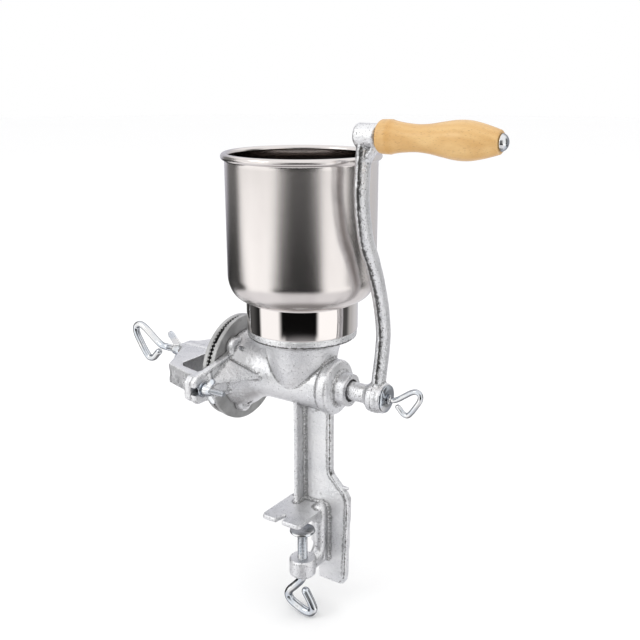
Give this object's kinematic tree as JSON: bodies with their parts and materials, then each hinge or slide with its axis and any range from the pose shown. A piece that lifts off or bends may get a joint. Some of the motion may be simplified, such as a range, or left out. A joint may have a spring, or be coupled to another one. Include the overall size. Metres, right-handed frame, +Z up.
{
  "type": "hand-cranked grain mill",
  "caption": "Table-clamped cast grain mill with a steel hopper, worm feed, toothed grinding discs, thrust yoke, S-shaped crank with a turned wooden handle, and eye screws.",
  "frame": {"origin": "on the underside of the clamp's upper jaw, straight below the crossing of the shaft axis and the hopper axis", "axes": "+X along the main shaft towards the crank, -Y towards the side that the table enters the clamp from, +Z up along the hopper axis"},
  "size_m": [0.4235, 0.168, 0.4695],
  "materials": {
    "cast_body": "bright tinned casting, fine sand texture",
    "burr_iron": "ground plated iron with cut teeth",
    "hopper_steel": "satin sheet with a polished neck",
    "plated_steel": "bright zinc plate",
    "varnished_wood": "clear satin varnish"
  },
  "bodies": {
    "frame": {"mill_body": "cast_body", "fixed_burr": "burr_iron", "fixed_burr_screw_1": "plated_steel", "fixed_burr_screw_2": "plated_steel", "fixed_burr_screw_3": "plated_steel", "yoke": "cast_body", "yoke_bolt_front": "plated_steel", "yoke_bolt_rear": "plated_steel"},
    "hopper": {"hopper": "hopper_steel"},
    "thrust": {"thrust_ball": "plated_steel"},
    "adjuster": {"adjusting_screw": "plated_steel"},
    "crank": {"worm_shaft": "cast_body", "burr_carrier": "cast_body", "drive_pin": "plated_steel", "turning_burr": "burr_iron", "turning_burr_screw_1": "plated_steel", "turning_burr_screw_2": "plated_steel", "crank_arm": "cast_body", "handle_washer": "plated_steel", "handle_pin": "plated_steel"},
    "grip": {"handle_grip": "varnished_wood"},
    "crank_washer": {"crank_washer": "plated_steel"},
    "thumb_screw": {"crank_thumb_screw": "plated_steel"},
    "lock_washer": {"lock_washer": "plated_steel"},
    "lock_nut": {"lock_wing_nut": "plated_steel"},
    "front_washer": {"yoke_washer_front": "plated_steel"},
    "front_nut": {"yoke_wing_nut_front": "plated_steel"},
    "rear_washer": {"yoke_washer_rear": "plated_steel"},
    "rear_nut": {"yoke_wing_nut_rear": "plated_steel"},
    "clamp_pad": {"clamp_pad": "plated_steel"},
    "clamp_screw": {"clamp_screw": "plated_steel"}
  },
  "joints": [
    {"name": "hopper_lift", "type": "slide", "parent": "frame", "child": "hopper", "axis": [0, 0, 1], "range_m": [0, 0.06]},
    {"name": "thrust_travel", "type": "slide", "parent": "frame", "child": "thrust", "axis": [1, 0, 0], "range_m": [-0.0025, 0.002]},
    {"name": "adjust_turn", "type": "hinge", "parent": "thrust", "child": "adjuster", "pos_m": [0, 0, 0.126], "axis": [1, 0, 0], "range_deg": [-720, 576]},
    {"name": "crank_turn", "type": "hinge", "parent": "thrust", "child": "crank", "pos_m": [0, 0, 0.126], "axis": [1, 0, 0], "continuous": true},
    {"name": "grip_spin", "type": "hinge", "parent": "crank", "child": "grip", "pos_m": [0.147, -0.03, 0.356], "axis": [1, 0, 0], "continuous": true},
    {"name": "crank_washer_travel", "type": "slide", "parent": "crank", "child": "crank_washer", "axis": [1, 0, 0], "range_m": [0, 0.00625]},
    {"name": "thumb_screw_turn", "type": "hinge", "parent": "crank_washer", "child": "thumb_screw", "pos_m": [0, 0, 0.126], "axis": [1, 0, 0], "range_deg": [0, 1800]},
    {"name": "lock_washer_travel", "type": "slide", "parent": "frame", "child": "lock_washer", "axis": [1, 0, 0], "range_m": [-0.005, 0]},
    {"name": "lock_nut_turn", "type": "hinge", "parent": "lock_washer", "child": "lock_nut", "pos_m": [0, 0, 0.126], "axis": [1, 0, 0], "range_deg": [-1440, 0]},
    {"name": "front_washer_travel", "type": "slide", "parent": "frame", "child": "front_washer", "axis": [1, 0, 0], "range_m": [0, 0.008]},
    {"name": "front_nut_turn", "type": "hinge", "parent": "front_washer", "child": "front_nut", "pos_m": [-0.055, -0.072, 0.126], "axis": [1, 0, 0], "range_deg": [0, 2880]},
    {"name": "rear_washer_travel", "type": "slide", "parent": "frame", "child": "rear_washer", "axis": [1, 0, 0], "range_m": [0, 0.008]},
    {"name": "rear_nut_turn", "type": "hinge", "parent": "rear_washer", "child": "rear_nut", "pos_m": [-0.055, 0.072, 0.126], "axis": [1, 0, 0], "range_deg": [0, 2880]},
    {"name": "pad_travel", "type": "slide", "parent": "frame", "child": "clamp_pad", "axis": [0, 0, 1], "range_m": [-0.024, 0.0045]},
    {"name": "clamp_turn", "type": "hinge", "parent": "clamp_pad", "child": "clamp_screw", "pos_m": [0.024, -0.036, -0.03], "axis": [0, 0, 1], "range_deg": [-5760, 1080]}
  ],
  "couplings": [
    {"joint": "adjust_turn", "follows": "thrust_travel", "rad_per_m": 5026.5},
    {"joint": "crank_washer_travel", "follows": "thumb_screw_turn", "m_per_rad": 0.00019894},
    {"joint": "lock_washer_travel", "follows": "lock_nut_turn", "m_per_rad": 0.00019894},
    {"joint": "front_washer_travel", "follows": "front_nut_turn", "m_per_rad": 0.00015915},
    {"joint": "rear_washer_travel", "follows": "rear_nut_turn", "m_per_rad": 0.00015915},
    {"joint": "pad_travel", "follows": "clamp_turn", "m_per_rad": 0.00023873}
  ]
}
